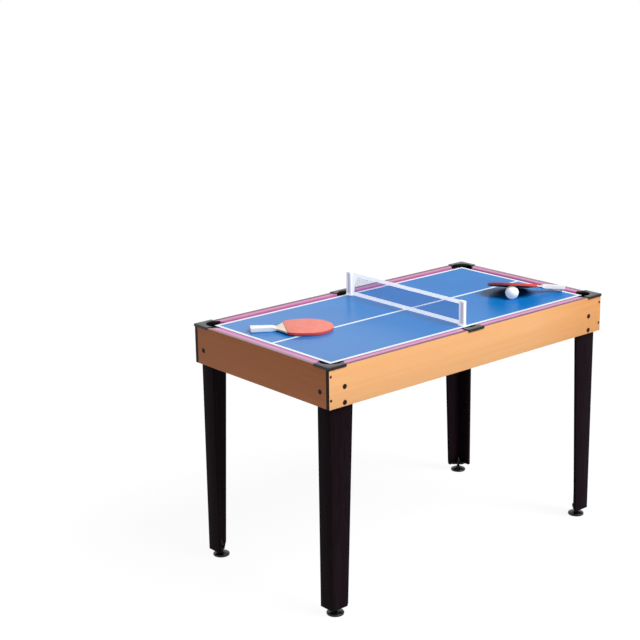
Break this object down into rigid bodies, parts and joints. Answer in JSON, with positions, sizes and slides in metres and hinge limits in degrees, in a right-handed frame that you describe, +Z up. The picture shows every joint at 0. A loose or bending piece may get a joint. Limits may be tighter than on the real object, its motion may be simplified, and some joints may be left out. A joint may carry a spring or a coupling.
{
  "type": "multi game table",
  "caption": "Home game table on angled legs: a pool cabinet with cloth rails and pockets, and a two-sided lift-out board for table tennis and hockey, with net, bats and ball.",
  "frame": {"origin": "on the floor, under the middle of the table", "axes": "+X along the table's length, +Y away from the front long side, +Z up"},
  "size_m": [1.099, 0.59, 0.788],
  "materials": {
    "beech_laminate": "satin printed wood grain",
    "pink_cloth_bed": "board covered in brushed pink cloth",
    "pink_cushion": "pink cloth over a firm strip",
    "black_plastic": "semi-gloss moulded plastic",
    "dark_leg_laminate": "dark satin laminate",
    "black_screws": "black plated steel",
    "dark_foot_plate": "dark painted pressed steel",
    "blue_board": "smooth painted board with white lines",
    "grey_wall": "satin",
    "red_plastic": "glossy moulded plastic",
    "white_plastic": "smooth moulded plastic",
    "netting": "woven net with cloth tapes",
    "pale_plywood": "sanded plywood",
    "red_rubber": "smooth sheet",
    "black_rubber": "smooth sheet",
    "cream_handle": "smooth moulded grip",
    "white_ball": "matte celluloid-like plastic"
  },
  "bodies": {
    "cabinet": {"side_panel_front": "beech_laminate", "side_panel_rear": "beech_laminate", "end_panel_left": "beech_laminate", "end_panel_right": "beech_laminate", "pool_bed": "pink_cloth_bed", "rail_cushion_front_left": "pink_cushion", "rail_cushion_front_right": "pink_cushion", "rail_cushion_rear_left": "pink_cushion", "rail_cushion_rear_right": "pink_cushion", "rail_cushion_left_end": "pink_cushion", "rail_cushion_right_end": "pink_cushion", "corner_pocket_front_left": "black_plastic", "corner_pocket_front_right": "black_plastic", "corner_pocket_rear_left": "black_plastic", "corner_pocket_rear_right": "black_plastic", "side_pocket_front": "black_plastic", "side_pocket_rear": "black_plastic", "leg_front_left": "dark_leg_laminate", "leg_front_right": "dark_leg_laminate", "leg_rear_left": "dark_leg_laminate", "leg_rear_right": "dark_leg_laminate", "leg_bolt_front_left_upper": "black_screws", "leg_bolt_front_left_lower": "black_screws", "leg_bolt_front_left_end": "black_screws", "leg_bolt_front_right_upper": "black_screws", "leg_bolt_front_right_lower": "black_screws", "leg_bolt_front_right_end": "black_screws", "leg_bolt_rear_left_upper": "black_screws", "leg_bolt_rear_left_lower": "black_screws", "leg_bolt_rear_left_end": "black_screws", "leg_bolt_rear_right_upper": "black_screws", "leg_bolt_rear_right_lower": "black_screws", "leg_bolt_rear_right_end": "black_screws", "foot_plate_front_left": "dark_foot_plate", "foot_plate_front_right": "dark_foot_plate", "foot_plate_rear_left": "dark_foot_plate", "foot_plate_rear_right": "dark_foot_plate"},
    "leveller_front_left": {"leveller_front_left": "black_plastic"},
    "leveller_front_right": {"leveller_front_right": "black_plastic"},
    "leveller_rear_left": {"leveller_rear_left": "black_plastic"},
    "leveller_rear_right": {"leveller_rear_right": "black_plastic"},
    "board": {"tennis_board": "blue_board", "hockey_wall_front": "grey_wall", "hockey_wall_rear": "grey_wall", "hockey_wall_left": "grey_wall", "hockey_wall_right": "grey_wall", "hockey_goal_left": "red_plastic", "hockey_goal_right": "red_plastic"},
    "net_set": {"net": "netting", "net_post_front": "white_plastic", "net_post_rear": "white_plastic"},
    "flat_bat": {"flat_bat_blade": "pale_plywood", "flat_bat_red_rubber": "red_rubber", "flat_bat_black_rubber": "black_rubber", "flat_bat_handle": "cream_handle"},
    "leaning_bat": {"leaning_bat_blade": "pale_plywood", "leaning_bat_red_rubber": "red_rubber", "leaning_bat_black_rubber": "black_rubber", "leaning_bat_handle": "cream_handle"},
    "ball": {"tennis_ball": "white_ball"}
  },
  "joints": [
    {"name": "leveller_front_left_travel", "type": "slide", "parent": "cabinet", "child": "leveller_front_left", "axis": [0, 0, -1], "range_m": [0, 0.012]},
    {"name": "leveller_front_right_travel", "type": "slide", "parent": "cabinet", "child": "leveller_front_right", "axis": [0, 0, -1], "range_m": [0, 0.012]},
    {"name": "leveller_rear_left_travel", "type": "slide", "parent": "cabinet", "child": "leveller_rear_left", "axis": [0, 0, -1], "range_m": [0, 0.012]},
    {"name": "leveller_rear_right_travel", "type": "slide", "parent": "cabinet", "child": "leveller_rear_right", "axis": [0, 0, -1], "range_m": [0, 0.012]},
    {"name": "board_lift", "type": "slide", "parent": "cabinet", "child": "board", "axis": [0, 0, 1], "range_m": [0, 0.15]},
    {"name": "net_lift", "type": "slide", "parent": "board", "child": "net_set", "axis": [0, 0, 1], "range_m": [0, 0.06]},
    {"name": "flat_bat_lift", "type": "slide", "parent": "board", "child": "flat_bat", "axis": [0, 0, 1], "range_m": [0, 0.1]},
    {"name": "leaning_bat_lift", "type": "slide", "parent": "board", "child": "leaning_bat", "axis": [0, 0, 1], "range_m": [0, 0.1]},
    {"name": "ball_roll", "type": "slide", "parent": "board", "child": "ball", "axis": [-0.7501, -0.6613, 0], "range_m": [0, 0.08]}
  ]
}
